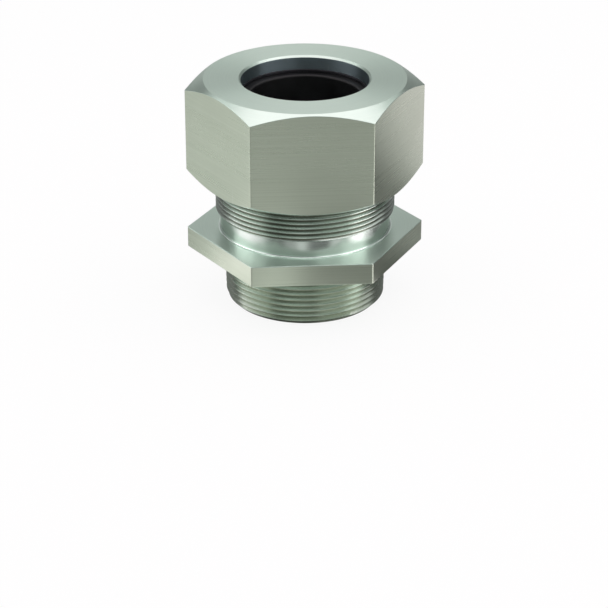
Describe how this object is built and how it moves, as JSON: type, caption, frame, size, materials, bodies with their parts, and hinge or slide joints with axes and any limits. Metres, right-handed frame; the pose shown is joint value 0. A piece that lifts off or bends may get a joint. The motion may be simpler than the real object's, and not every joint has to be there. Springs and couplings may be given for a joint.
{
  "type": "cord connector",
  "caption": "Liquid-tight cord connector in stainless steel: threaded hub, wrench flange, gland nut and rubber bushing.",
  "frame": {"origin": "centre of the hub's lower end, on the axis of the cord's path", "axes": "+Z along the cord's path from the hub to the gland nut; a flat of both hexagons faces -Y and a corner lies on +X"},
  "size_m": [0.088, 0.0762, 0.0861],
  "materials": {
    "turned_stainless": "fine turned and brushed stainless steel, bright at the edges",
    "ring_steel": "plain sheared stainless strip",
    "black_rubber": "smooth moulded black rubber with a soft sheen"
  },
  "bodies": {
    "connector": {"connector_body": "turned_stainless", "sealing_bushing": "black_rubber"},
    "ring": {"slip_ring": "ring_steel"},
    "nut": {"gland_nut": "turned_stainless"}
  },
  "joints": [
    {"name": "ring_travel", "type": "slide", "parent": "connector", "child": "ring", "axis": [0, 0, 1], "range_m": [-0.00273, 0.01634], "deforming": ["sealing_bushing"]},
    {"name": "nut_turn", "type": "hinge", "parent": "ring", "child": "nut", "pos_m": [0, 0, 0.0668], "axis": [0, 0, 1], "range_deg": [-540, 3240]}
  ],
  "couplings": [
    {"joint": "ring_travel", "follows": "nut_turn", "m_per_rad": 0.00028875}
  ]
}
